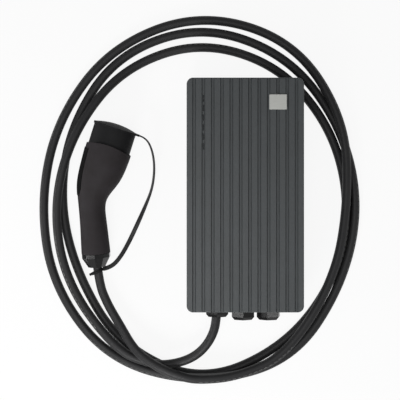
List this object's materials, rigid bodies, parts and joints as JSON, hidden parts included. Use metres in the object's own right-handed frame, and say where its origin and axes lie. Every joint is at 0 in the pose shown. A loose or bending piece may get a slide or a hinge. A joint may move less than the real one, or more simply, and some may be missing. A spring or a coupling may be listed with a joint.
{
  "type": "ev wallbox",
  "caption": "Wall-mounted car charging box with a ribbed front, cable glands below, a coiled tethered cable and a vehicle connector under a pull-off dust cap.",
  "frame": {"origin": "middle of the four wall bolts, on the wall, which is also the middle of the box's outline", "axes": "+X to the right of the box, +Y up the wall, +Z out of the wall; the part lies on its back on the floor"},
  "size_m": [0.4732, 0.5454, 0.1012],
  "materials": {
    "coated_aluminium": "satin",
    "smoked_polycarbonate": "gloss",
    "brushed_aluminium": "brushed",
    "dark_asa": "matt",
    "seal_rubber": "matt",
    "zinc_steel": "satin",
    "circuit_board": "satin",
    "module_plastic": "satin",
    "tin_can": "satin",
    "terminal_plastic": "satin",
    "lamp_white": "gloss",
    "gland_polyamide": "satin",
    "cable_sheath": "matt",
    "wire_insulation": "satin",
    "connector_plastic": "matt",
    "grip_inlay": "matt",
    "nut_polyamide": "gloss",
    "silvered_copper": "satin",
    "cap_elastomer": "matt"
  },
  "bodies": {
    "base": {"badge_plate": "brushed_aluminium", "board_screws": "zinc_steel", "bracket_screws": "zinc_steel", "cable_coil": "cable_sheath", "cable_lead": "cable_sheath", "cap_strap": "cap_elastomer", "connector_face": "connector_plastic", "connector_inlay": "grip_inlay", "connector_lead": "cable_sheath", "connector_nut": "nut_polyamide", "connector_shell": "connector_plastic", "contacts": "silvered_copper", "cover_gasket": "seal_rubber", "cover_screws": "zinc_steel", "current_sensor": "module_plastic", "front_cover": "coated_aluminium", "gland_body_1": "gland_polyamide", "gland_body_2": "gland_polyamide", "gland_body_3": "gland_polyamide", "gland_locknut_1": "gland_polyamide", "gland_locknut_2": "gland_polyamide", "gland_locknut_3": "gland_polyamide", "gland_nut_1": "gland_polyamide", "gland_nut_2": "gland_polyamide", "gland_nut_3": "gland_polyamide", "gland_seal_1": "seal_rubber", "gland_seal_2": "seal_rubber", "gland_seal_3": "seal_rubber", "led_board": "circuit_board", "light_guide": "smoked_polycarbonate", "main_board": "circuit_board", "output_wires": "wire_insulation", "power_relays": "module_plastic", "power_supply": "module_plastic", "radio_module": "tin_can", "rear_housing": "dark_asa", "status_leds": "lamp_white", "strap_ring": "cap_elastomer", "terminal_block": "terminal_plastic", "wall_bracket": "zinc_steel"},
    "cap": {"dust_cap": "cap_elastomer"}
  },
  "joints": [
    {"name": "cap_pull", "type": "slide", "parent": "base", "child": "cap", "axis": [0.308, 0.9478, 0.0821], "range_m": [0, 0.036], "deforming": ["cap_strap"]}
  ]
}
